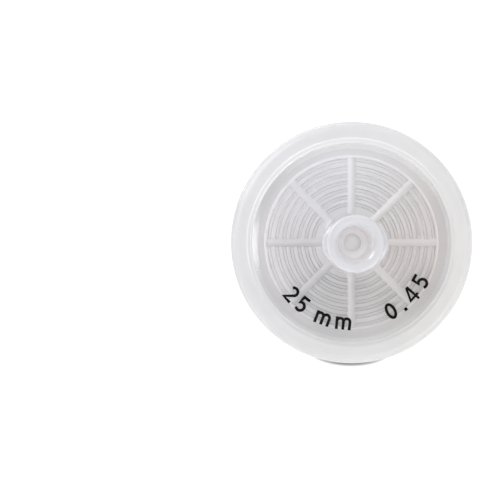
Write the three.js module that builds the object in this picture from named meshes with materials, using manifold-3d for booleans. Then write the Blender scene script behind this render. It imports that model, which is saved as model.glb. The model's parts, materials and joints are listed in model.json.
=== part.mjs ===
// Disposable 25 mm syringe filter, lying on its rim and on its outlet tip.
// Units: millimetres. Row frame: +Z up, +X to the right, the inlet face leans towards -Y.
//
// Every piece is drawn about its own flow axis (local Z, inlet side up, Z = 0 half way
// through the overmoulded ring) and the whole group is then leaned until the outlet-side
// edge of the ring and the edge of the luer tip stand on the plane Z = 0.

import * as THREE from 'three';
import { mergeVertices } from 'three/addons/utils/BufferGeometryUtils.js';
import Module from 'manifold-3d';

// ---------------------------------------------------------------- driving dimensions
const RING_R_INLET = 15.0;        // outer radius of the overmoulded ring, inlet edge
const RING_R_OUTLET = 14.62;      // the same at the outlet edge: moulding draft
const RING_HALF = 1.75;           // half the thickness of the ring
const RING_ROUND_INLET = 1.0;     // edge rounding, inlet side
const RING_ROUND_OUTLET = 0.5;    // edge rounding, outlet side
const LIP_R_TOP = 12.9;           // inner radius of each lip at its outer face
const LIP_R_FOOT = 12.6;          // inner radius of each lip where it meets the plates
const LIP_UNDER = 1.0;            // height of the groove face under each lip
const GROOVE_R = 13.7;            // radius of the bottom of the ring's groove

const PLATE_FACE = 1.2;           // outer face of each cover plate
const PLATE_STEP_R = 12.45;       // the face steps down here, under the lip
const PLATE_STEP = 0.9;           // height of that step
const PLATE_R = 13.5;             // outer radius of both plates
const PLATE_CEILING = 0.5;        // inner face of each plate, between the ribs
const RIB_TIP = 0.18;             // height of the rib tips and of the clamping land
const LAND_R = 10.7;              // inner radius of the clamping land
const SKIRT_R = 12.72;            // inner radius of the weld skirt outside the membrane
const SKIRT_END = -0.06;          // lower end of that skirt

const RIB_RADII = [4.74, 5.64, 6.51, 7.45, 8.35, 9.25, 10.24];
const RIB_W = 0.38;               // width of each ring rib
const CHANNEL_W = 1.05;           // width of the radial channels
const CHANNELS = 8;
const CHANNEL_DEEP = 0.14;        // how far the channels are sunk into the plate
const CHANNEL_R_IN = 4.45;        // where each channel starts
const CHANNEL_R_OUT = 10.55;      // and ends

const MEMBRANE_R = 12.5;          // 25 mm membrane disc
const MEMBRANE_T = 0.16;

const HUB_END = 11.75;            // end face of the female luer hub
const HUB_R_END = 3.33;           // outer radius at the end
const HUB_R_BASE = 3.42;          // outer radius above the base fillet
const HUB_CHAMFER = 0.2;
const HUB_FILLET = 0.75;          // fillet between hub and plate
const SOCKET_R = 2.15;            // female 6 % luer taper: radius at the mouth
const SOCKET_DEPTH = 8.6;
const LUER_TAPER = 0.03;          // radius change for each millimetre of length
const FLOW_R = 1.1;               // flow hole under the socket

const LUG_R = 3.915;              // radius over the luer lock lugs
const LUG_TOP = 11.15;
const LUG_ROOT_H = 2.0;           // axial height at the root
const LUG_CREST_H = 1.5;          // axial height at the crest
const LUG_CREST_DEG = 12;         // half angle of the full-height crest
const LUG_FOOT_DEG = 42;          // half angle where the flank meets the hub

const BOSS_R_ROOT = 2.8;          // stepped boss under the outlet plate
const BOSS_R_END = 2.72;
const BOSS_END = -7.75;
const BOSS_FILLET = 0.6;
const TIP_END = -15.75;           // end of the male luer slip tip
const TIP_R_END = 1.97;           // radius at the end, before its rounding
const TIP_ROUND = 0.3;
const OUTLET_R_END = 1.2;         // flow bore at the end of the tip
const OUTLET_R_TOP = 1.0;         // flow bore at the support plate

const SEG_DISC = 48;              // facets round the ring, plates and membrane
const SEG_HUB = 32;               // facets round the hub, boss and tip
const SEG_RIB = 48;               // facets round each ring rib

// ---------------------------------------------------------------- solid modelling
const wasm = await Module();
wasm.setup();
const { Manifold, Mesh } = wasm;

// closed three.js geometry to a solid, with outward faces
function solid(geometry) {
  const g = geometry.index ? geometry.clone() : mergeVertices(geometry.clone(), 1e-6);
  for (const name of Object.keys(g.attributes)) if (name !== 'position') g.deleteAttribute(name);
  const m = mergeVertices(g, 1e-4);
  const p = m.attributes.position.array;
  const src = m.index.array;
  const tri = [];
  for (let i = 0; i < src.length; i += 3) {
    const [a, b, c] = [src[i], src[i + 1], src[i + 2]];
    if (a !== b && b !== c && c !== a) tri.push(a, b, c);
  }
  let volume = 0;
  for (let i = 0; i < tri.length; i += 3) {
    const [a, b, c] = [3 * tri[i], 3 * tri[i + 1], 3 * tri[i + 2]];
    volume += p[a] * (p[b + 1] * p[c + 2] - p[b + 2] * p[c + 1])
      - p[a + 1] * (p[b] * p[c + 2] - p[b + 2] * p[c])
      + p[a + 2] * (p[b] * p[c + 1] - p[b + 1] * p[c]);
  }
  if (volume < 0) for (let i = 0; i < tri.length; i += 3) [tri[i + 1], tri[i + 2]] = [tri[i + 2], tri[i + 1]];
  return new Manifold(new Mesh({
    numProp: 3,
    vertProperties: new Float32Array(p),
    triVerts: new Uint32Array(tri),
  }));
}

// body of revolution about Z from [radius, height] points; each radius is that of the
// middle of the flats, and a flat faces -Y
function turned(points, segments, closed = true) {
  const corner = 1 / Math.cos(Math.PI / segments);
  const loop = points.map(([r, z]) => new THREE.Vector2(r * corner, z));
  if (closed) loop.push(loop[0].clone());
  const g = new THREE.LatheGeometry(loop, segments);
  g.rotateX(Math.PI / 2);
  g.rotateZ(Math.PI / segments);
  return solid(g);
}

// prism along Z from an outline
function prism(outline, z0, z1) {
  const g = new THREE.ExtrudeGeometry(new THREE.Shape(outline), {
    depth: z1 - z0, bevelEnabled: false, steps: 1,
  });
  g.translate(0, 0, z0);
  return solid(g);
}

function block(lx, ly, z0, z1, turn) {
  const g = new THREE.BoxGeometry(lx, ly, z1 - z0);
  g.translate(0, 0, (z0 + z1) / 2);
  g.rotateZ(turn);
  return solid(g);
}

function geometryOf(manifold) {
  const mesh = manifold.getMesh();
  const g = new THREE.BufferGeometry();
  g.setAttribute('position', new THREE.BufferAttribute(new Float32Array(mesh.vertProperties), 3));
  g.setIndex(new THREE.BufferAttribute(new Uint32Array(mesh.triVerts), 1));
  const flat = g.toNonIndexed();
  flat.computeVertexNormals();
  return flat;
}

// points of an arc in the profile plane, both ends included
function arc(cr, cz, radius, fromDeg, toDeg, steps) {
  const out = [];
  for (let i = 0; i <= steps; i++) {
    const a = THREE.MathUtils.degToRad(fromDeg + ((toDeg - fromDeg) * i) / steps);
    out.push([cr + radius * Math.cos(a), cz + radius * Math.sin(a)]);
  }
  return out;
}

// ---------------------------------------------------------------- overmoulded ring
const ringProfile = [
  [LIP_R_FOOT, LIP_UNDER],
  [LIP_R_FOOT, PLATE_FACE],
  [LIP_R_TOP - 0.08, RING_HALF - 0.08],
  [LIP_R_TOP + 0.08, RING_HALF],
  ...arc(RING_R_INLET - RING_ROUND_INLET, RING_HALF - RING_ROUND_INLET, RING_ROUND_INLET, 90, 0, 4),
  ...arc(RING_R_OUTLET - RING_ROUND_OUTLET, -RING_HALF + RING_ROUND_OUTLET, RING_ROUND_OUTLET, 0, -90, 3),
  [LIP_R_TOP + 0.08, -RING_HALF],
  [LIP_R_TOP - 0.08, -RING_HALF + 0.08],
  [LIP_R_FOOT, -PLATE_FACE],
  [LIP_R_FOOT, -LIP_UNDER],
  [GROOVE_R, -LIP_UNDER],
  [GROOVE_R, LIP_UNDER],
];
const ring = turned(ringProfile, SEG_DISC);

// ---------------------------------------------------------------- ring ribs
// seven low rings standing on a plate's inner face, cut through by radial channels
function ribs(tip, root) {
  let all = null;
  for (const r of RIB_RADII) {
    const rib = turned([
      [r - RIB_W / 2, Math.min(tip, root)],
      [r + RIB_W / 2, Math.min(tip, root)],
      [r + RIB_W / 2, Math.max(tip, root)],
      [r - RIB_W / 2, Math.max(tip, root)],
    ], SEG_RIB);
    all = all ? all.add(rib) : rib;
  }
  for (let i = 0; i < CHANNELS / 2; i++) {
    all = all.subtract(block(2 * LAND_R, CHANNEL_W, -1.5, 1.5, (i * 2 * Math.PI) / CHANNELS));
  }
  return all;
}

// the sunk floor of the radial channels, as one solid to cut away
function channelFloors(from, to) {
  let all = null;
  for (let i = 0; i < CHANNELS; i++) {
    const g = new THREE.BoxGeometry(CHANNEL_R_OUT - CHANNEL_R_IN, CHANNEL_W, Math.abs(to - from));
    g.translate((CHANNEL_R_OUT + CHANNEL_R_IN) / 2, 0, (from + to) / 2);
    g.rotateZ((i * 2 * Math.PI) / CHANNELS);
    const cut = solid(g);
    all = all ? all.add(cut) : cut;
  }
  return all;
}

// ---------------------------------------------------------------- inlet housing
const inletPlate = turned([
  [0.5, PLATE_FACE],
  [0.5, PLATE_CEILING],
  [LAND_R, PLATE_CEILING],
  [LAND_R, RIB_TIP],
  [SKIRT_R, RIB_TIP],
  [SKIRT_R, SKIRT_END],
  [PLATE_R, SKIRT_END],
  [PLATE_R, PLATE_STEP],
  [PLATE_STEP_R, PLATE_STEP],
  [PLATE_STEP_R, PLATE_FACE],
], SEG_DISC);

const hub = turned([
  [0.4, PLATE_FACE - 0.3],
  [HUB_R_BASE + HUB_FILLET, PLATE_FACE - 0.3],
  ...arc(HUB_R_BASE + HUB_FILLET, PLATE_FACE + HUB_FILLET, HUB_FILLET, 270, 180, 3),
  [HUB_R_END, HUB_END - HUB_CHAMFER],
  [HUB_R_END - HUB_CHAMFER, HUB_END],
  [0.4, HUB_END],
], SEG_HUB);

// two lugs: a ring with sloped flanks, kept only where the cam outline reaches
const lugBand = turned([
  [2.8, LUG_TOP - LUG_ROOT_H],
  [HUB_R_END, LUG_TOP - LUG_ROOT_H],
  [LUG_R, LUG_TOP - (LUG_ROOT_H + LUG_CREST_H) / 2],
  [LUG_R, LUG_TOP - (LUG_ROOT_H - LUG_CREST_H) / 2],
  [HUB_R_END, LUG_TOP],
  [2.8, LUG_TOP],
], 2 * SEG_HUB);
const cam = [];
for (const side of [0, 180]) {
  for (const [deg, r] of [
    [-LUG_FOOT_DEG - 25, HUB_R_END - 0.25], [-LUG_FOOT_DEG, HUB_R_END], [-26, 3.66], [-LUG_CREST_DEG - 3, 3.86],
    [-LUG_CREST_DEG + 4, LUG_R + 0.02], [0, LUG_R + 0.06], [LUG_CREST_DEG - 4, LUG_R + 0.02],
    [LUG_CREST_DEG + 3, 3.86], [26, 3.66], [LUG_FOOT_DEG, HUB_R_END], [LUG_FOOT_DEG + 25, HUB_R_END - 0.25],
  ]) {
    const a = THREE.MathUtils.degToRad(side + deg);
    cam.push(new THREE.Vector2(r * Math.cos(a), r * Math.sin(a)));
  }
}
const lugs = lugBand.intersect(prism(cam, LUG_TOP - LUG_ROOT_H - 0.5, LUG_TOP + 0.3));

const socket = turned([
  [0, HUB_END - SOCKET_DEPTH],
  [SOCKET_R - LUER_TAPER * SOCKET_DEPTH, HUB_END - SOCKET_DEPTH],
  [SOCKET_R - LUER_TAPER * 0.15, HUB_END - 0.15],
  [SOCKET_R + 0.15, HUB_END],
  [SOCKET_R + 0.15, HUB_END + 1],
  [0, HUB_END + 1],
], SEG_HUB, false);
const flowHole = turned([
  [0, -1],
  [FLOW_R, -1],
  [FLOW_R, HUB_END - SOCKET_DEPTH + 0.5],
  [0, HUB_END - SOCKET_DEPTH + 0.5],
], SEG_HUB, false);

const inletHousing = inletPlate
  .add(ribs(RIB_TIP, PLATE_CEILING + 0.1))
  .subtract(channelFloors(0, PLATE_CEILING + CHANNEL_DEEP))
  .add(hub)
  .add(lugs)
  .subtract(socket)
  .subtract(flowHole);

// ---------------------------------------------------------------- outlet housing
const outletPlate = turned([
  [0.5, -PLATE_CEILING],
  [0.5, -PLATE_FACE],
  [PLATE_STEP_R, -PLATE_FACE],
  [PLATE_STEP_R, -PLATE_STEP],
  [PLATE_R, -PLATE_STEP],
  [PLATE_R, -RIB_TIP],
  [LAND_R, -RIB_TIP],
  [LAND_R, -PLATE_CEILING],
], SEG_DISC);

const tipProfile = arc(TIP_R_END - TIP_ROUND, TIP_END + TIP_ROUND, TIP_ROUND, 0, -90, 2);
const spout = turned([
  [0.4, -PLATE_FACE + 0.3],
  [0.4, TIP_END],
  ...tipProfile.slice().reverse(),
  [TIP_R_END + LUER_TAPER * (BOSS_END - TIP_END - TIP_ROUND), BOSS_END],
  [BOSS_R_END - 0.25, BOSS_END],
  [BOSS_R_END, BOSS_END + 0.25],
  ...arc(BOSS_R_ROOT + BOSS_FILLET, -PLATE_FACE - BOSS_FILLET, BOSS_FILLET, 180, 90, 3),
  [BOSS_R_ROOT + BOSS_FILLET, -PLATE_FACE + 0.3],
], SEG_HUB);

const flowBore = turned([
  [0, TIP_END - 1],
  [OUTLET_R_END + 0.15, TIP_END - 1],
  [OUTLET_R_END + 0.15, TIP_END],
  [OUTLET_R_END, TIP_END + 0.15],
  [OUTLET_R_TOP, -PLATE_FACE],
  [OUTLET_R_TOP, 1],
  [0, 1],
], SEG_HUB, false);

const outletHousing = outletPlate
  .add(ribs(-RIB_TIP, -PLATE_CEILING - 0.1))
  .subtract(channelFloors(0, -PLATE_CEILING - CHANNEL_DEEP))
  .add(spout)
  .subtract(flowBore);

// ---------------------------------------------------------------- membrane
const membrane = turned([
  [0, -MEMBRANE_T / 2],
  [MEMBRANE_R, -MEMBRANE_T / 2],
  [MEMBRANE_R, MEMBRANE_T / 2],
  [0, MEMBRANE_T / 2],
], SEG_DISC, false);

// ---------------------------------------------------------------- rest pose
// The line under the profile of ring and tip is the floor. Its slope is the lean.
const feet = [...ringProfile, ...tipProfile];
let lean = null;
for (const a of feet) {
  for (const b of feet) {
    if (b[1] > a[1] - 8 || a[0] < b[0] + 5) continue;
    const angle = Math.atan2(a[0] - b[0], a[1] - b[1]);
    const up = ([r, z]) => -r * Math.cos(angle) + z * Math.sin(angle);
    const floor = up(a);
    if (feet.every((p) => up(p) > floor - 1e-6)) lean = { angle, floor };
  }
}

const group = new THREE.Group();
group.name = 'syringe_filter';
group.rotation.x = Math.PI / 2 - lean.angle;
group.position.z = -lean.floor;

function piece(name, manifold, color, roughness) {
  const mesh = new THREE.Mesh(
    geometryOf(manifold),
    new THREE.MeshStandardMaterial({ color, roughness, metalness: 0 }),
  );
  mesh.name = name;
  group.add(mesh);
}

piece('inlet_housing', inletHousing, 0xe4e5ea, 0.3);
piece('outlet_housing', outletHousing, 0xe0e2e6, 0.3);
piece('filter_membrane', membrane, 0xf6f4f1, 0.85);
piece('overmould_ring', ring, 0xebebee, 0.38);

// centre the object over the origin along Y
group.updateMatrixWorld(true);
const box = new THREE.Box3();
group.traverse((o) => { if (o.isMesh) box.expandByObject(o, true); });
group.position.y -= (box.min.y + box.max.y) / 2;
group.updateMatrixWorld(true);

export default group;
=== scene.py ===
import json
import math

import bmesh
import bpy
from mathutils import Matrix, Vector
from mathutils.geometry import delaunay_2d_cdt


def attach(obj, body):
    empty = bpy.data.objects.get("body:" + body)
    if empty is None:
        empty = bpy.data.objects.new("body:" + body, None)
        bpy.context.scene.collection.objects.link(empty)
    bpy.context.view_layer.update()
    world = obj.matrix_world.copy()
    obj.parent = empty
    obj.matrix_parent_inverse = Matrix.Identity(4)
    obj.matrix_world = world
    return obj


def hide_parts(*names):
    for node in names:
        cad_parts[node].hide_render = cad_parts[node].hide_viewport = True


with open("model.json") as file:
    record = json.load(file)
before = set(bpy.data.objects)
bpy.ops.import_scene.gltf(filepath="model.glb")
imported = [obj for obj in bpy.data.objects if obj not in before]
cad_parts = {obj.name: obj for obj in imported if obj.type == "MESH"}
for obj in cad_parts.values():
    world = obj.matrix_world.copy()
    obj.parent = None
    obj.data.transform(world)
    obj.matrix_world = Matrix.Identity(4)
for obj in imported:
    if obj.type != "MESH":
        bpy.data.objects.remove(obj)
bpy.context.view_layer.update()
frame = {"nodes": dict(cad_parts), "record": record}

MM = 0.001
rad = math.radians

# ------------------------------------------------------------------ local frame
# Z along the flow axis towards the inlet, Y up the leaning disc, X to the right.
mounts = {m["name"]: m for m in frame["record"]["mounts"]}
hub_face = mounts["inlet_hub_face"]
U = Vector(hub_face["axis"]).normalized()
X = Vector((1.0, 0.0, 0.0))
V = U.cross(X).normalized()
P = Vector(hub_face["pos_m"]) - V * 2.715 * MM - U * 11.75 * MM
LOCAL = Matrix((
    (X.x, V.x, U.x, P.x),
    (X.y, V.y, U.y, P.y),
    (X.z, V.z, U.z, P.z),
    (0, 0, 0, 1),
))

# ------------------------------------------------------------------ dimensions, mm
R_IN, R_OUT, HALF = 14.99, 14.61, 1.745
ROUND_IN, ROUND_OUT = 1.0, 0.5
LIP_FOOT, LIP_TOP, LIP_ROUND, LIP_COVE, LIP_SLOPE = 12.28, 12.98, 0.25, 0.80, 50   # the ring's inner slope
COVE_R, COVE, COVE_END = 11.70, 1.4, 11.5   # the plate curves up towards it, to a cone from COVE_R on
FACE, STEP_R, STEP_Z, PLATE_R = 1.2, 12.45, 0.9, 13.5
CEIL, TIP, LAND = 0.5, 0.18, 10.7
RIBS = [4.74, 5.64, 6.51, 7.45, 8.35, 9.25, 10.24]
RIB_W = 0.38               # rib width at half its height
FLANK = 0.13               # width of a rib's sloped side
HUB_END, HUB_R, HUB_BASE = 11.745, 3.43, 3.50
SOCKET, DEPTH, FLOW = 2.15, 8.6, 1.1
TIP_END, TIP_R = -15.745, 1.965
BOSS_END, BOSS_R, BOSS_BASE = -7.75, 2.71, 2.79


# ------------------------------------------------------------------ mesh helpers
# How much of the plastic's brightness each zone of a moulding keeps, partly its thickness and partly painted light and
# shade:
# rib sides painted darker for the light they turn away, channels thin and painted bright, the step round the ribs
# painted as a bright line where it gathers light.
TONE = {"plain": 1.0, "lip": 0.90, "ceil": 0.96, "tip": 0.945, "land": 0.965,
        "step": 1.15, "rim": 0.84, "edge": 1.0, "sole": 0.885, "well": 0.99, "bore": 0.985, "hub": 1.0, "mouth": 1.05, "foot": 0.83}
# painted light and shade: how much a zone is painted brighter towards one side of the disc and darker opposite, and
# the direction it is painted brightest in
SWING = {"ceil": (0.12, 135), "tip": (0.12, 135), "flank": (0.12, 135), "channel": (0.11, 120),
         "land": (0.08, 115), "step": (0.17, 130), "lip": (0.10, 115), "foot": (0.10, 115), "band": (0.03, 100), "rim": (0.05, 5),
         "sole": (0.07, 125), "well": (0.15, 130), "bore": (0.06, 125)}
PART_OF = {"hub": 1, "lip": 1, "bore": 3, "mouth": 3, "well": 3, "foot": 1, "rim": 1, "sole": 3, "edge": 4, "step": 4, "side": 5, "collar": 6}    # material numbers; 0 is the outer skin
PART_OF.update({tag: 2 for tag in ("ceil", "flank", "tip", "channel", "land")})
DRAFT = 0.06
# a channel's round section: distance from its middle, and depth
SECTION = [(-0.52, 0.0), (-0.44, 0.055), (-0.32, 0.105), (-0.16, 0.135), (0.0, 0.14),
           (0.16, 0.135), (0.32, 0.105), (0.44, 0.055), (0.52, 0.0)]
SECTOR = []  # one entry for each column: (sector, distance in mm or None, share or depth)
for s in range(8):
    for d, depth in SECTION:
        SECTOR.append((s, d, depth))
    for k in range(1, 14):
        SECTOR.append((s, None, k / 14))


def column_angle(col, r):
    s, d, share = col
    rr = max(r, 3.4)
    base = rad(45 * s)
    if d is not None:
        return base + math.asin(d / rr)
    edge = math.asin(SECTION[-1][0] / rr)
    return base + edge + (rad(45) - 2 * edge) * share


# painted light and shade on each channel: its middle tone, and how much lighter its counter-clockwise side is painted
CHANNEL = [(0.97, 0.08), (1.04, 0.165), (1.03, 0.15), (1.015, 0.01), (0.89, -0.11), (0.97, -0.11), (1.09, -0.14), (1.02, -0.03)]


def channel_tone(col, nxt):
    """A channel's sides lean; one side is painted lighter and the other darker, for the light each would gather."""
    if col[1] is None or nxt[1] is None:
        return None
    mid, gain = CHANNEL[col[0]]
    return mid + gain * math.sin(rad(90) * max(-1.0, min(1.0, (col[1] + nxt[1]) / 0.7)))


def spill(own, x, y):
    """Painted light and shade: a painted pool of light behind the hub to the lower right, painted shade to the lower
    left, and the land and step painted brighter and darker at set angles round the disc.
    """
    a, r = math.atan2(y, x), math.hypot(x, y)
    if own == "land":
        lit = max(0.0, math.cos(a - rad(325))) ** 4 - max(0.0, math.cos(a - rad(5))) ** 8
        return 1.0 - 0.035 * math.cos(2 * a) + 0.08 * lit
    if own == "step":
        return 1.0 + 0.10 * max(0.0, math.cos(a - rad(332))) ** 3 - 0.05 * max(0.0, math.cos(a - rad(203))) ** 4
    if own not in ("ceil", "flank", "tip", "channel"):
        return 1.0
    behind = 0.35 * math.exp((5.0 - r) / 3.3) * max(0.0, math.cos(a - rad(316))) ** 3.5
    dim = 0.12 * max(0.0, min(1.0, r - 4.6, (10.0 - r) / 1.5)) * max(0.0, math.cos(a - rad(235)))
    return 1.0 + behind - dim


def hue(own, a):
    """A painted tint of coloured light round the disc: warm at the lower right, cool at the upper left."""
    warm = math.cos(a + rad(30))
    if PART_OF.get(own) == 2 or own == "step":
        return (1.018 + 0.013 * warm + 0.012 * math.cos(2 * a), 1.0, 0.998 - 0.022 * warm - 0.006 * math.cos(2 * a))
    if own in ("foot", "lip", "band", "rim"):
        return (1.010 + 0.005 * warm, 1.0, 0.994 - 0.017 * warm)
    return (1.0, 1.0, 1.0)


def loft(name, rings, columns, closed=True, tags=None, spokes=False):
    """Quads between rings of points. A ring is a list of (x, y, z) in mm, one for each column.
    A tag names the faces that start at its ring. Each face's share of light, partly painted light and shade, comes
    from TONE, channel_tone, SWING and spill, its painted tint from hue, and its material from PART_OF."""
    bm = bmesh.new()
    layer = bm.loops.layers.float_vector.new("tone")
    rows = []
    for ring in rings:
        rows.append([bm.verts.new(LOCAL @ Vector((p[0] * MM, p[1] * MM, p[2] * MM))) for p in ring])
    n = len(rows)
    for i in range(n if closed else n - 1):
        a, b = rows[i], rows[(i + 1) % n]
        tag = tags[i] if tags else "plain"
        for j in range(columns):
            k = (j + 1) % columns
            try:
                f = bm.faces.new((a[j], a[k], b[k], b[j]))
            except ValueError:
                continue
            own = tag.rstrip(".0123456789")      # a number after the tag is the tone
            tone = float(tag[len(own):]) if tag != own else TONE.get(tag, 1.0)
            if spokes and own in ("ceil", "flank", "tip"):
                lit = channel_tone(SECTOR[j], SECTOR[k])
                if lit is not None:
                    own, tone = "channel", lit
            # painted light and shade: brighter towards one side of the disc, with painted pools of light and shade
            # from spill, and a painted tint from hue
            swing, towards = SWING.get(own, (0, 0))
            at = math.atan2(rings[i][j][1], rings[i][j][0])
            tone *= (1 + swing * math.cos(at - rad(towards))) * spill(own, rings[i][j][0], rings[i][j][1])
            for corner in f.loops:
                corner[layer] = Vector(hue(own, at)) * tone
            f.material_index = PART_OF.get(own, 0)
    bmesh.ops.recalc_face_normals(bm, faces=bm.faces)
    for f in bm.faces:
        f.smooth = True
    mesh = bpy.data.meshes.new(name)
    bm.to_mesh(mesh)
    bm.free()
    mesh.set_sharp_from_angle(angle=rad(38))
    obj = bpy.data.objects.new(name, mesh)
    bpy.context.scene.collection.objects.link(obj)
    return obj


def arc(cr, cz, r, a0, a1, n):
    return [(cr + r * math.cos(rad(a0 + (a1 - a0) * i / n)),
             cz + r * math.sin(rad(a0 + (a1 - a0) * i / n))) for i in range(n + 1)]


def split(profile, tag="plain"):
    """[(r, z) or (r, z, tag)] to points and tags; a tag holds until the next one."""
    points, tags = [], []
    for entry in profile:
        if len(entry) == 3:
            tag = entry[2]
        points.append(entry[:2])
        tags.append(tag)
    return points, tags


def turned(name, profile, columns=256):
    points, tags = split(profile)   # the tag is plain until the profile names one
    rings = [[(r * math.cos(2 * math.pi * j / columns), r * math.sin(2 * math.pi * j / columns), z)
              for j in range(columns)] for r, z in points]
    return loft(name, rings, columns, tags=tags)


def sector_ring(r, z):
    """One ring on the columns that follow the radial channels. r and z may be functions of the column and angle."""
    out = []
    for col in SECTOR:
        r0 = r if not callable(r) else 3.4
        a = column_angle(col, r0)
        rr = r(a) if callable(r) else r
        zz = z(col) if callable(z) else z
        out.append((rr * math.cos(a), rr * math.sin(a), zz))
    return out


def rib_rows(sign):
    """Rings of the inner face from the clamping land in to the flow hole: seven ribs and eight channels."""
    ceil, tip = CEIL * sign, TIP * sign

    def level(z):
        return lambda col: ceil + col[2] * sign if col[1] is not None and col[2] > 0 else z

    rows = [(LAND - 0.10, ceil, "ceil"), (LAND - 0.17, ceil, "ceil"), (LAND - 0.17 - DRAFT, level(ceil), "ceil")]
    for rc in reversed(RIBS):
        side = "flank%.3f" % (0.74 + 0.15 * (rc - RIBS[0]) / (RIBS[-1] - RIBS[0]))   # painted shade on the rib sides, darker near the hub
        out_r, in_r = rc + (RIB_W + FLANK) / 2, rc - (RIB_W + FLANK) / 2
        if rc == RIBS[-1]:
            out_r = min(out_r, LAND - 0.17 - DRAFT - 0.01)
        rows += [(out_r, level(ceil), side), (out_r - FLANK, level(tip), "tip"),
                 (in_r + FLANK, level(tip), side), (in_r, level(ceil), "ceil")]
    rows += [(3.55, level(ceil), "ceil"), (3.55 - DRAFT, ceil, "edge"), (2.8, ceil, "edge"), (2.0, ceil, "edge")]
    return rows


# ------------------------------------------------------------------ inlet shell
CAM = [(0, 3.915), (8, 3.915), (14, 3.88), (20, 3.81), (26, 3.72), (34, 3.60), (42, 3.49), (52, 3.40), (90, 3.0)]


def cam(a):
    """Radius of the lug outline at angle a: two lugs, left and right."""
    deg = abs((math.degrees(a) + 90) % 180 - 90)
    for (d0, r0), (d1, r1) in zip(CAM, CAM[1:]):
        if deg <= d1:
            t = (deg - d0) / (d1 - d0)
            return r0 + (r1 - r0) * t
    return 3.0


def lug(body_r, share):
    return lambda a: body_r + max(0.0, cam(a) - body_r) * share


def hub_r(z):
    return HUB_BASE + (HUB_R - HUB_BASE) * (z - 1.95) / (HUB_END - 0.2 - 1.95)


inlet = []
inlet += [(FLOW + 0.06, CEIL, "duct"), (FLOW, CEIL + 0.06), (FLOW, 2.2), (FLOW, 2.7, "well"), (FLOW, 3.09), (FLOW + 0.06, 3.15, "sole"), (1.79, 3.15), (1.87, 3.18, "bore"), (1.895, 3.26)]
inlet += [(SOCKET - 0.03 * (HUB_END - z), z) for z in (5.0, 7.0, 8.5)]
inlet += [(SOCKET - 0.03 * (HUB_END - z), z, "mouth") for z in (9.5, 10.6)] + [(SOCKET - 0.012, 11.35, "hub")]
inlet += arc(SOCKET + 0.08, HUB_END - 0.293, 0.09, 180, 122, 4)
mouth = inlet[-1], (SOCKET + 0.35, HUB_END - 0.02)
inlet += [tuple(a + (b - a) * k for a, b in zip(*mouth)) for k in (0.1, 0.5, 0.92, 1)]
inlet += [(SOCKET + 0.42, HUB_END)]
inlet += [(2.75, HUB_END), (2.95, HUB_END)]
inlet += arc(HUB_R - 0.38, HUB_END - 0.38, 0.38, 90, 0, 8)
for z, share in ((11.17, 0), (11.13, .3), (11.08, .58), (11.0, .82), (10.9, .95), (10.8, 1), (10.1, 1), (9.5, 1),
                 (9.4, .95), (9.3, .82), (9.22, .58), (9.17, .3), (9.13, 0)):
    inlet.append((lug(hub_r(z), share), z, "hub" if z > 10.75 else "collar"))
inlet += [(hub_r(9.0), 9.0, "side")] + [(hub_r(z), z) for z in (6.5, 4.0, 2.4, 1.7)]
fillet = arc(HUB_BASE + 0.35, FACE + 0.35, 0.35, 182, 270, 8)
inlet += [(*fillet[0], "plain")] + fillet[1:]
inlet += [(4.2, FACE), (6, FACE), (8, FACE), (10, FACE), (11.0, FACE)]
cove = arc(COVE_R - COVE * math.sin(rad(COVE_END)), FACE + COVE, COVE, 270, 270 + COVE_END, 12)
cove.append((STEP_R, cove[-1][1] + (STEP_R - COVE_R) * math.tan(rad(COVE_END))))
inlet += cove
inlet += [(STEP_R, FACE, "edge"), (STEP_R, STEP_Z), (PLATE_R, STEP_Z), (PLATE_R, -0.06), (12.72, -0.06), (12.72, TIP), (12.0, TIP, "land"), (LAND + 0.12, TIP, "step"), (LAND - 0.06, TIP + 0.08)]
inlet += rib_rows(1)
points, tags = split(inlet)
inlet_shell = loft("inlet_shell", [sector_ring(r, z) for r, z in points], len(SECTOR), tags=tags, spokes=True)

# ------------------------------------------------------------------ outlet shell
outlet = [(1.06, -CEIL), (1.0, -CEIL - 0.06), (1.0, -1.2), (1.06, -5.0), (1.12, -10.0), (1.19, -15.4)]
outlet += arc(1.34, TIP_END + 0.15, 0.15, 180, 270, 4)
outlet += [(1.5, TIP_END)]
outlet += arc(TIP_R - 0.3, TIP_END + 0.3, 0.3, 270, 360, 6)
outlet += [(TIP_R + 0.03 * (z - TIP_END), z) for z in (-14.0, -11.5, -9.5, -8.1, -7.9)]
outlet += arc(TIP_R + 0.24 + 0.12, BOSS_END - 0.12, 0.12, 180, 90, 3)
outlet += arc(BOSS_R - 0.2, BOSS_END + 0.2, 0.2, 270, 360, 5)
outlet += [(BOSS_R + (BOSS_BASE - BOSS_R) * (z - BOSS_END) / 6, z) for z in (-6.5, -4.5, -2.6, -1.9)]
outlet += arc(BOSS_BASE + 0.6, -FACE - 0.6, 0.6, 178, 90, 8)
outlet += [(4.45, -FACE, "plain"), (6, -FACE), (8, -FACE), (10, -FACE), (11.5, -FACE), (12.3, -FACE)]
outlet += arc(STEP_R - 0.08, -FACE + 0.08, 0.08, 270, 360, 3)
outlet += [(STEP_R, -STEP_Z), (PLATE_R, -STEP_Z), (PLATE_R, -TIP), (12.0, -TIP, "land"), (LAND + 0.12, -TIP, "step"), (LAND - 0.06, -TIP - 0.08)]
outlet += rib_rows(-1)
points, tags = split(outlet, "hub")
outlet_shell = loft("outlet_shell", [sector_ring(r, z) for r, z in points], len(SECTOR), tags=tags, spokes=True)

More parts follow.
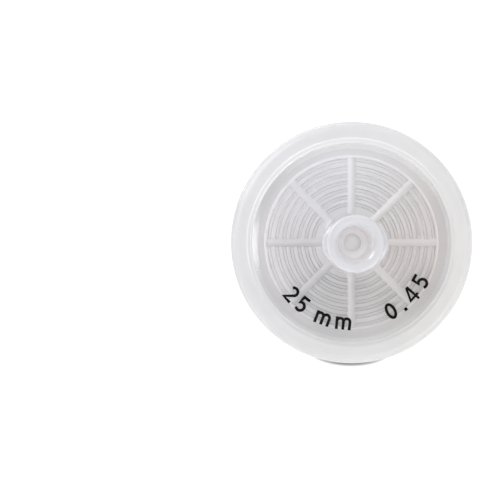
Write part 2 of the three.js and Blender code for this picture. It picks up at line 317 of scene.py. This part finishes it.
# ------------------------------------------------------------------ overmoulded ring
foot_z = cove[-1][1] - (STEP_R - LIP_FOOT) * math.tan(rad(COVE_END))    # the plate's height there
band = [(STEP_R + 0.015, 0.92, "foot"), (STEP_R + 0.015, cove[-1][1] + 0.006), (LIP_FOOT, foot_z + 0.006)]
slope = arc(LIP_FOOT - LIP_COVE * math.sin(rad(COVE_END)), foot_z + 0.02 + LIP_COVE * math.cos(rad(COVE_END)),
            LIP_COVE, 270 + COVE_END, 270 + LIP_SLOPE, 12)
band += slope[:4] + [(*slope[4], "lip")] + slope[5:]
band += arc(LIP_TOP, HALF - LIP_ROUND, LIP_ROUND, 90 + LIP_SLOPE, 90, 10)
band += [(13.02, HALF, "band"), (13.3, HALF), (13.6, HALF), (13.8, HALF)]
band += arc(R_IN - ROUND_IN, HALF - ROUND_IN, ROUND_IN, 90, 50, 8)
band += [(*q, "rim") for q in arc(R_IN - ROUND_IN, HALF - ROUND_IN, ROUND_IN, 50, 0, 10)[1:]]
band += [(R_IN - 0.08, 0.0), (R_IN - 0.23, -0.7)]
band += arc(R_OUT - ROUND_OUT, -HALF + ROUND_OUT, ROUND_OUT, 0, -90, 8)
band += [(13.6, -HALF)]
band += arc(13.15, -HALF + 0.40, 0.40, 270, 225, 8)
band += [(12.44, -FACE - 0.10), (12.42, -FACE - 0.004), (STEP_R + 0.015, -FACE - 0.004), (STEP_R + 0.015, -0.92)]
band += [(13.53, -0.92), (13.53, 0.92)]
outer_ring = turned("outer_ring", band, 288)

# ------------------------------------------------------------------ membrane
disc = [(0.02, 0.08)] + [(r, 0.08) for r in (1, 3, 5, 7, 9, 11, 12.4)] + [(12.48, 0.05), (12.48, -0.05)]
disc += [(r, -0.08) for r in (12.4, 11, 9, 7, 5, 3, 1)] + [(0.02, -0.08)]
membrane = turned("membrane_disc", disc, 128)

# ------------------------------------------------------------------ print
GLYPH_H = 2.12
BASE_R = 10.84  # digits stand on this circle, tops towards the hub
PEN = 0.17      # stroke width as a share of the height


def bow(cx, cy, rx, ry, a0, a1, n=20):
    return [(cx + rx * math.cos(rad(a0 + (a1 - a0) * i / n)), cy + ry * math.sin(rad(a0 + (a1 - a0) * i / n)))
            for i in range(n + 1)]


EDGE = PEN / 2
STROKES = {
    "2": [bow(0.30, 0.68, 0.235, 0.235, 155, -32) + [(0.10, EDGE), (0.62, EDGE)]],
    "5": [[(0.56, 1 - EDGE), (0.155, 1 - EDGE), (0.125, 0.525)] + bow(0.275, 0.335, 0.245, 0.25, 112, -138)],
    "m": [[(0.085, 0.0), (0.085, 0.74)],
          bow(0.275, 0.47, 0.19, 0.185, 180, 0) + [(0.465, 0.0)],
          bow(0.655, 0.47, 0.19, 0.185, 180, 0) + [(0.845, 0.0)]],
    "0": [bow(0.31, 0.5, 0.225, 0.5 - EDGE, -8, 188, 28), bow(0.31, 0.5, 0.225, 0.5 - EDGE, 172, 368, 28)],
    "4": [[(0.475, 0.965), (0.085, 0.27), (0.72, 0.27)], [(0.52, 1.0), (0.52, 0.0)]],
    ".": [[(0.10, 0.0), (0.10, 0.19)]],
}


def ribbon(points, width):
    """Outline of a pen stroke along the points, mitred at its corners."""
    left, right = [], []
    for i, (x, y) in enumerate(points):
        ahead = Vector(points[i + 1]) - Vector((x, y)) if i + 1 < len(points) else None
        behind = Vector((x, y)) - Vector(points[i - 1]) if i else None
        d0 = (behind or ahead).normalized()
        d1 = (ahead or behind).normalized()
        n0, n1 = Vector((-d0.y, d0.x)), Vector((-d1.y, d1.x))
        mid = (n0 + n1).normalized()
        reach = width / 2 / max(0.62, mid.dot(n0))
        left.append((x + mid.x * reach, y + mid.y * reach))
        right.append((x - mid.x * reach, y - mid.y * reach))
    return right + left[::-1]


def glyph(char):
    """Points and triangles of one character, its strokes joined into one shape of unit height."""
    pts, outlines = [], []
    for stroke in STROKES[char]:
        outline = ribbon(stroke, {".": 0.20, "4": 0.145}.get(char, PEN))
        outlines.append(list(range(len(pts), len(pts) + len(outline))))
        pts += [Vector(p) for p in outline]
    verts, _, faces, _, _, source = delaunay_2d_cdt(pts, [], outlines, 1, 1e-6, True)
    return [(v.x, v.y) for v in verts], [tuple(f) for f, inside in zip(faces, source) if inside]


def print_word(bm, chars, spots):
    """Each character stands on the circle at its own angle, in degrees, with its top towards the hub."""
    for char, deg in zip(chars, spots):
        pts, faces = glyph(char)
        used = sorted({i for f in faces for i in f})
        xs = [pts[i][0] for i in used]
        mid = (min(xs) + max(xs)) / 2
        a = rad(deg)
        out = Vector((math.cos(a), math.sin(a)))       # away from the hub
        along = Vector((-math.sin(a), math.cos(a)))    # reading direction, counter-clockwise
        verts = []
        for layer in (FACE + 0.004, FACE + 0.016):
            row = {}
            for i in used:
                q = out * (BASE_R - pts[i][1] * GLYPH_H) + along * ((pts[i][0] - mid) * GLYPH_H)
                row[i] = bm.verts.new(LOCAL @ Vector((q.x * MM, q.y * MM, layer * MM)))
            verts.append(row)
        edges = {}
        for f in faces:
            bm.faces.new([verts[1][i] for i in f])
            bm.faces.new([verts[0][i] for i in reversed(f)])
            for i, j in zip(f, f[1:] + f[:1]):
                edges[(i, j)] = True
        for i, j in list(edges):
            if (j, i) not in edges:
                bm.faces.new((verts[1][j], verts[1][i], verts[0][i], verts[0][j]))


bm = bmesh.new()
print_word(bm, ["2", "5", "m", "m"], [220.5, 231.7, 249.2, 264.2])
print_word(bm, ["0", ".", "4", "5"], [299.9, 309.2, 318.6, 330.7])
bmesh.ops.recalc_face_normals(bm, faces=bm.faces)
mesh = bpy.data.meshes.new("print_marks")
bm.to_mesh(mesh)
bm.free()
print_marks = bpy.data.objects.new("print_marks", mesh)
bpy.context.scene.collection.objects.link(print_marks)

# ------------------------------------------------------------------ materials


def new_material(name):
    m = bpy.data.materials.new(name)
    m.use_nodes = True
    nt = m.node_tree
    nt.nodes.clear()
    out = nt.nodes.new("ShaderNodeOutputMaterial")
    bsdf = nt.nodes.new("ShaderNodeBsdfPrincipled")
    nt.links.new(bsdf.outputs[0], out.inputs["Surface"])
    return m, nt, bsdf


def coords(nt, scale=(1, 1, 1)):
    tc = nt.nodes.new("ShaderNodeTexCoord")
    mp = nt.nodes.new("ShaderNodeMapping")
    mp.inputs["Scale"].default_value = scale
    nt.links.new(tc.outputs["Object"], mp.inputs["Vector"])
    return mp.outputs[0]


def noise(nt, vec, scale, detail=3.0, rough=0.5):
    n = nt.nodes.new("ShaderNodeTexNoise")
    n.inputs["Scale"].default_value = scale
    n.inputs["Detail"].default_value = detail
    n.inputs["Roughness"].default_value = rough
    nt.links.new(vec, n.inputs["Vector"])
    return n.outputs["Fac"]


def ramp(nt, fac, stops):
    r = nt.nodes.new("ShaderNodeValToRGB")
    el = r.color_ramp.elements
    while len(el) < len(stops):
        el.new(0.5)
    for e, (pos, col) in zip(el, stops):
        e.position = pos
        e.color = (*col, 1) if len(col) == 3 else col
    nt.links.new(fac, r.inputs["Fac"])
    return r.outputs["Color"]


def span(nt, fac, lo, hi):
    m = nt.nodes.new("ShaderNodeMapRange")
    m.inputs["To Min"].default_value = lo
    m.inputs["To Max"].default_value = hi
    nt.links.new(fac, m.inputs["Value"])
    return m.outputs[0]


def bump(nt, bsdf, height, strength, distance):
    b = nt.nodes.new("ShaderNodeBump")
    b.inputs["Strength"].default_value = strength
    b.inputs["Distance"].default_value = distance
    nt.links.new(height, b.inputs["Height"])
    nt.links.new(b.outputs[0], bsdf.inputs["Normal"])


def polypropylene(name, tint_a, tint_b, rough, clear, milk, grain):
    """Natural polypropylene: part clear, part milky, faintly clouded, with a fine moulded grain.
    The mesh's tone, which holds painted light and shade, darkens or lightens a zone."""
    m, nt, bsdf = new_material(name)
    vec = coords(nt)
    cloud = noise(nt, vec, 260.0, 4.0, 0.55)
    tint = ramp(nt, cloud, [(0.35, tint_a), (0.65, tint_b)])
    tone = nt.nodes.new("ShaderNodeAttribute")
    tone.attribute_type = "GEOMETRY"
    tone.attribute_name = "tone"
    toned = nt.nodes.new("ShaderNodeVectorMath")
    toned.operation = "MULTIPLY"
    nt.links.new(tint, toned.inputs[0])
    nt.links.new(tone.outputs["Vector"], toned.inputs[1])
    nt.links.new(toned.outputs[0], bsdf.inputs["Base Color"])
    fine = noise(nt, vec, 5200.0, 2.0, 0.6)
    nt.links.new(span(nt, noise(nt, vec, 900.0, 3.0, 0.6), rough - 0.04, rough + 0.04), bsdf.inputs["Roughness"])
    bsdf.inputs["IOR"].default_value = 1.49
    bsdf.inputs["Transmission Weight"].default_value = clear
    bsdf.inputs["Subsurface Weight"].default_value = milk
    bsdf.inputs["Subsurface Radius"].default_value = (1.0, 1.0, 1.0)
    bsdf.inputs["Subsurface Scale"].default_value = 0.0008
    bump(nt, bsdf, fine, grain, 0.00001)
    return m


pp_skin = polypropylene("pp_skin", (0.985, 0.985, 0.99), (0.995, 0.995, 1.0), 0.13, 0.94, 0.0, 0.1)
pp_inner = polypropylene("pp_inner", (0.92, 0.915, 0.92), (0.94, 0.935, 0.94), 0.30, 0.18, 0.0, 0.0)
pp_weld = polypropylene("pp_weld", (0.965, 0.96, 0.96), (0.98, 0.975, 0.975), 0.40, 0.0, 0.0, 0.0)
pp_bore = polypropylene("pp_bore", (0.985, 0.972, 0.976), (0.998, 0.985, 0.989), 0.35, 0.06, 0.0, 0.0)
pp_hub = polypropylene("pp_hub", (0.69, 0.69, 0.715), (0.71, 0.71, 0.735), 0.17, 0.30, 0.5, 0.1)
pp_collar = polypropylene("pp_collar", (0.69, 0.69, 0.715), (0.71, 0.71, 0.735), 0.38, 0.30, 0.5, 0.1)
pp_side = polypropylene("pp_side", (0.96, 0.96, 0.98), (0.975, 0.975, 0.995), 0.40, 0.78, 0.5, 0.1)
pp_side.node_tree.nodes["Principled BSDF"].inputs["Specular IOR Level"].default_value = 0.35
pp_back = polypropylene("pp_back", (0.93, 0.93, 0.945), (0.95, 0.95, 0.965), 0.20, 0.85, 0.0, 0.1)
pp_tip = polypropylene("pp_tip", (0.88, 0.89, 0.91), (0.91, 0.92, 0.94), 0.18, 0.75, 0.6, 0.1)
pp_ring = polypropylene("pp_ring", (0.68, 0.68, 0.687), (0.705, 0.705, 0.712), 0.50, 0.05, 0.9, 0.1)
pp_lip = polypropylene("pp_lip", (0.79, 0.79, 0.795), (0.81, 0.81, 0.815), 0.15, 0.0, 0.0, 0.1)

ptfe, nt, bsdf = new_material("ptfe_membrane")
vec = coords(nt)
nt.links.new(ramp(nt, noise(nt, vec, 1500.0, 5.0, 0.7), [(0.3, (0.94, 0.93, 0.92)), (0.7, (0.97, 0.96, 0.95))]), bsdf.inputs["Base Color"])
nt.links.new(span(nt, noise(nt, vec, 4000.0), 0.7, 0.9), bsdf.inputs["Roughness"])
bump(nt, bsdf, noise(nt, vec, 9000.0, 4.0, 0.7), 0.3, 0.00003)

ink, nt, bsdf = new_material("black_ink")
vec = coords(nt)
nt.links.new(ramp(nt, noise(nt, vec, 3000.0, 4.0, 0.7), [(0.3, (0.002, 0.002, 0.002)), (0.7, (0.006, 0.006, 0.006))]), bsdf.inputs["Base Color"])
nt.links.new(span(nt, noise(nt, vec, 2500.0), 0.75, 0.85), bsdf.inputs["Roughness"])
bsdf.inputs["Specular IOR Level"].default_value = 0.08

for obj, mats, node, slot_name in (
    (inlet_shell, (pp_skin, pp_hub, pp_inner, pp_bore, pp_weld, pp_side, pp_collar), "inlet_housing", "inlet_housing"),
    (outlet_shell, (pp_back, pp_tip, pp_inner, pp_tip, pp_weld), "outlet_housing", "outlet_housing"),
    (outer_ring, (pp_ring, pp_lip), "overmould_ring", "ring"),
    (membrane, (ptfe,), "filter_membrane", "membrane"),
    (print_marks, (ink,), None, "print"),
):
    for mat in mats:
        obj.data.materials.append(mat)
    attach(obj, "root")
    if node:
        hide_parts(node)
        cad = frame["nodes"][node]
        cad.data.materials.clear()
        cad.data.materials.append(mats[0])

# ------------------------------------------------------------------ floor, light, camera
mesh = bpy.data.meshes.new("floor")
mesh.from_pydata([(-2, -2, 0), (2, -2, 0), (2, 2, 0), (-2, 2, 0)], [], [(0, 1, 2, 3)])
floor = bpy.data.objects.new("floor", mesh)
bpy.context.scene.collection.objects.link(floor)
m, nt, bsdf = new_material("floor_white")
bsdf.inputs["Base Color"].default_value = (0.45, 0.45, 0.45, 1)
bsdf.inputs["Roughness"].default_value = 0.8
bsdf.inputs["Specular IOR Level"].default_value = 0.1
bsdf.inputs["Emission Color"].default_value = (1, 1, 1, 1)
contact = nt.nodes.new("ShaderNodeAmbientOcclusion")   # a lit white surface that also glows; an AO node dims the glow into a painted contact shadow, dark only where it is touched
contact.samples = 16
contact.inputs["Distance"].default_value = 0.0009
lit = nt.nodes.new("ShaderNodeMapRange")
for socket, value in zip(("From Min", "From Max", "To Min", "To Max"), (0.38, 0.75, 0.0, 0.75)):
    lit.inputs[socket].default_value = value
nt.links.new(contact.outputs["AO"], lit.inputs["Value"])
nt.links.new(lit.outputs[0], bsdf.inputs["Emission Strength"])
mesh.materials.append(m)

world = bpy.data.worlds.new("studio")
bpy.context.scene.world = world
world.use_nodes = True
world.node_tree.nodes["Background"].inputs["Color"].default_value = (0.98, 0.985, 1.0, 1)
world.node_tree.nodes["Background"].inputs["Strength"].default_value = 0.80


def softbox(name, tilt, turn, distance, size, radiance, color=(1, 1, 1), card=False, gloss=True):
    """An area light seen from the disc `tilt` degrees off its axis, in the direction `turn`
    degrees counter-clockwise from the right. Its power follows from the radiance. A card only
    shows in gloss."""
    light = bpy.data.lights.new(name, "AREA")
    light.shape = "RECTANGLE"
    light.size, light.size_y = size
    light.energy = radiance * math.pi * size[0] * size[1]
    light.color = color
    o = bpy.data.objects.new(name, light)
    bpy.context.scene.collection.objects.link(o)
    off = X * math.cos(rad(turn)) + V * math.sin(rad(turn))
    way = U * math.cos(rad(tilt)) + off * math.sin(rad(tilt))
    o.location = P + way * distance
    across = off * math.cos(rad(tilt)) - U * math.sin(rad(tilt))
    along = way.cross(across)
    o.matrix_world = Matrix((
        (along.x, across.x, way.x, o.location.x),
        (along.y, across.y, way.y, o.location.y),
        (along.z, across.z, way.z, o.location.z),
        (0, 0, 0, 1),
    ))
    o.visible_camera = False
    o.visible_glossy = gloss
    if card:
        o.visible_diffuse = False
        o.visible_transmission = False
        o.visible_volume_scatter = False
    return o


# size is (along the circle round the axis, away from the axis)
softbox("key", 14, 118, 0.50, (0.24, 0.20), 5.2, gloss=False)
softbox("card_below", 18, 272, 0.40, (0.20, 0.11), 3.2, card=True)
softbox("card_lower_right", 42, -43, 0.40, (0.26, 0.08), 15.0, card=True)
softbox("card_right", 21, -1.5, 0.40, (0.045, 0.06), 10.0, card=True)
softbox("card_upper_left", 50, 142, 0.40, (0.14, 0.10), 32.0, card=True)
softbox("card_top", 50, 90, 0.40, (0.16, 0.04), 9.0, card=True)
softbox("rim", 102, 100, 0.40, (0.46, 0.10), 3.0, gloss=False)
softbox("card_rim", 108, 125, 0.40, (0.50, 0.04), 9.0, card=True)

# camera: image plane nearly parallel to the disc; the disc sits right of the middle
FRAME_PX, DISC_AT, PX_PER_MM, DIST = 500, (351.15, 242.5), 8.01, 0.200
focal_px = PX_PER_MM * DIST / MM
side, rise = math.tan(rad(2.5)), math.tan(rad(0.65))
w = (U - X * side + V * rise).normalized()
cam_at = P + w * DIST
dx, dy = DISC_AT[0] - FRAME_PX / 2, FRAME_PX / 2 - DISC_AT[1]
forward = -w
for _ in range(40):
    r = forward.cross(V).normalized()
    t = r.cross(forward).normalized()
    v = P - cam_at
    depth = v.dot(forward)
    ex = v.dot(r) / depth * focal_px - dx
    ey = v.dot(t) / depth * focal_px - dy
    forward = (forward + r * (ex / focal_px) + t * (ey / focal_px)).normalized()
r = forward.cross(V).normalized()
t = r.cross(forward).normalized()
cam_data = bpy.data.cameras.new("camera")
cam_data.sensor_width = 36.0
cam_data.lens = focal_px * 36.0 / FRAME_PX
cam_data.clip_start, cam_data.clip_end = 0.005, 10.0
camera = bpy.data.objects.new("camera", cam_data)
bpy.context.scene.collection.objects.link(camera)
camera.matrix_world = Matrix((
    (r.x, t.x, -forward.x, cam_at.x),
    (r.y, t.y, -forward.y, cam_at.y),
    (r.z, t.z, -forward.z, cam_at.z),
    (0, 0, 0, 1),
))
bpy.context.scene.camera = camera

scene = bpy.context.scene
scene.view_settings.view_transform = "Standard"
scene.view_settings.look = "None"
scene.cycles.max_bounces = 16
scene.cycles.diffuse_bounces = 12
scene.cycles.transmission_bounces = 12
scene.cycles.transparent_max_bounces = 12
scene.cycles.caustics_reflective = True
scene.cycles.caustics_refractive = True
scene.cycles.sample_clamp_indirect = 1.6
